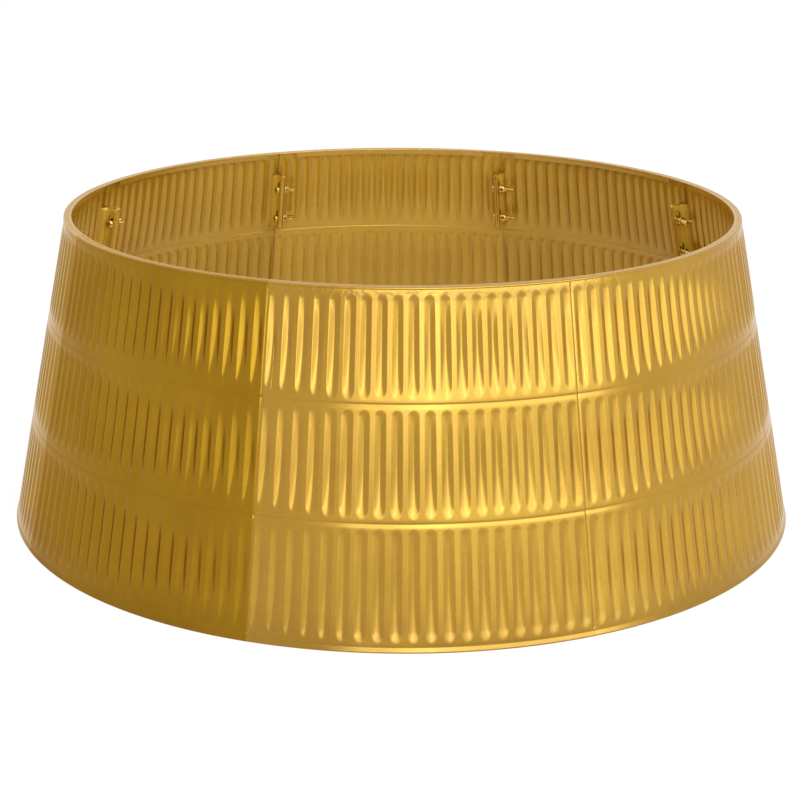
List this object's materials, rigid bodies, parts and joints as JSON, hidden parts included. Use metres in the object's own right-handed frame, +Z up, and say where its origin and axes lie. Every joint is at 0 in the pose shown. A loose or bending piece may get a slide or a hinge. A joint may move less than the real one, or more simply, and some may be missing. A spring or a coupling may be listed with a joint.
{
  "type": "christmas tree collar",
  "caption": "Tapered ring of fluted sheet-metal panels, bolted together inside, that stands on the floor and hides the base of a tree.",
  "frame": {"origin": "on the floor, at the centre of the ring", "axes": "+Z up, out of the narrow top; -Y through the middle of panel 1, the front"},
  "size_m": [0.6596, 0.6596, 0.254],
  "materials": {
    "gold_sheet": "satin metallic gold paint on pressed sheet steel",
    "gold_bolt": "satin gold, pan-head machine bolts",
    "gold_nut": "satin gold, cast wing nuts"
  },
  "bodies": {
    "ring": {"panel_1": "gold_sheet", "panel_2": "gold_sheet", "panel_3": "gold_sheet", "panel_4": "gold_sheet", "panel_5": "gold_sheet", "panel_6": "gold_sheet", "panel_7": "gold_sheet", "panel_8": "gold_sheet", "bolt_1_lower": "gold_bolt", "bolt_1_upper": "gold_bolt", "bolt_2_lower": "gold_bolt", "bolt_2_upper": "gold_bolt", "bolt_3_lower": "gold_bolt", "bolt_3_upper": "gold_bolt", "bolt_4_lower": "gold_bolt", "bolt_4_upper": "gold_bolt", "bolt_5_lower": "gold_bolt", "bolt_5_upper": "gold_bolt", "bolt_6_lower": "gold_bolt", "bolt_6_upper": "gold_bolt", "bolt_7_lower": "gold_bolt", "bolt_7_upper": "gold_bolt", "bolt_8_lower": "gold_bolt", "bolt_8_upper": "gold_bolt"},
    "nut_1_lower": {"wing_nut_1_lower": "gold_nut"},
    "nut_1_upper": {"wing_nut_1_upper": "gold_nut"},
    "nut_2_lower": {"wing_nut_2_lower": "gold_nut"},
    "nut_2_upper": {"wing_nut_2_upper": "gold_nut"},
    "nut_3_lower": {"wing_nut_3_lower": "gold_nut"},
    "nut_3_upper": {"wing_nut_3_upper": "gold_nut"},
    "nut_4_lower": {"wing_nut_4_lower": "gold_nut"},
    "nut_4_upper": {"wing_nut_4_upper": "gold_nut"},
    "nut_5_lower": {"wing_nut_5_lower": "gold_nut"},
    "nut_5_upper": {"wing_nut_5_upper": "gold_nut"},
    "nut_6_lower": {"wing_nut_6_lower": "gold_nut"},
    "nut_6_upper": {"wing_nut_6_upper": "gold_nut"},
    "nut_7_lower": {"wing_nut_7_lower": "gold_nut"},
    "nut_7_upper": {"wing_nut_7_upper": "gold_nut"},
    "nut_8_lower": {"wing_nut_8_lower": "gold_nut"},
    "nut_8_upper": {"wing_nut_8_upper": "gold_nut"}
  },
  "joints": [
    {"name": "spin_1_lower", "type": "hinge", "parent": "ring", "child": "nut_1_lower", "pos_m": [0.10297, -0.25956, 0.18924], "axis": [0.9239, 0.3827, 0], "continuous": true},
    {"name": "spin_1_upper", "type": "hinge", "parent": "ring", "child": "nut_1_upper", "pos_m": [0.10074, -0.25418, 0.21824], "axis": [0.9239, 0.3827, 0], "continuous": true},
    {"name": "spin_2_lower", "type": "hinge", "parent": "ring", "child": "nut_2_lower", "pos_m": [0.25634, -0.11073, 0.18924], "axis": [0.3827, 0.9239, 0], "continuous": true},
    {"name": "spin_2_upper", "type": "hinge", "parent": "ring", "child": "nut_2_upper", "pos_m": [0.25096, -0.1085, 0.21824], "axis": [0.3827, 0.9239, 0], "continuous": true},
    {"name": "spin_3_lower", "type": "hinge", "parent": "ring", "child": "nut_3_lower", "pos_m": [0.25956, 0.10297, 0.18924], "axis": [-0.3827, 0.9239, 0], "continuous": true},
    {"name": "spin_3_upper", "type": "hinge", "parent": "ring", "child": "nut_3_upper", "pos_m": [0.25418, 0.10074, 0.21824], "axis": [-0.3827, 0.9239, 0], "continuous": true},
    {"name": "spin_4_lower", "type": "hinge", "parent": "ring", "child": "nut_4_lower", "pos_m": [0.11073, 0.25634, 0.18924], "axis": [-0.9239, 0.3827, 0], "continuous": true},
    {"name": "spin_4_upper", "type": "hinge", "parent": "ring", "child": "nut_4_upper", "pos_m": [0.1085, 0.25096, 0.21824], "axis": [-0.9239, 0.3827, 0], "continuous": true},
    {"name": "spin_5_lower", "type": "hinge", "parent": "ring", "child": "nut_5_lower", "pos_m": [-0.10297, 0.25956, 0.18924], "axis": [-0.9239, -0.3827, 0], "continuous": true},
    {"name": "spin_5_upper", "type": "hinge", "parent": "ring", "child": "nut_5_upper", "pos_m": [-0.10074, 0.25418, 0.21824], "axis": [-0.9239, -0.3827, 0], "continuous": true},
    {"name": "spin_6_lower", "type": "hinge", "parent": "ring", "child": "nut_6_lower", "pos_m": [-0.25634, 0.11073, 0.18924], "axis": [-0.3827, -0.9239, 0], "continuous": true},
    {"name": "spin_6_upper", "type": "hinge", "parent": "ring", "child": "nut_6_upper", "pos_m": [-0.25096, 0.1085, 0.21824], "axis": [-0.3827, -0.9239, 0], "continuous": true},
    {"name": "spin_7_lower", "type": "hinge", "parent": "ring", "child": "nut_7_lower", "pos_m": [-0.25956, -0.10297, 0.18924], "axis": [0.3827, -0.9239, 0], "continuous": true},
    {"name": "spin_7_upper", "type": "hinge", "parent": "ring", "child": "nut_7_upper", "pos_m": [-0.25418, -0.10074, 0.21824], "axis": [0.3827, -0.9239, 0], "continuous": true},
    {"name": "spin_8_lower", "type": "hinge", "parent": "ring", "child": "nut_8_lower", "pos_m": [-0.11073, -0.25634, 0.18924], "axis": [0.9239, -0.3827, 0], "continuous": true},
    {"name": "spin_8_upper", "type": "hinge", "parent": "ring", "child": "nut_8_upper", "pos_m": [-0.1085, -0.25096, 0.21824], "axis": [0.9239, -0.3827, 0], "continuous": true}
  ]
}
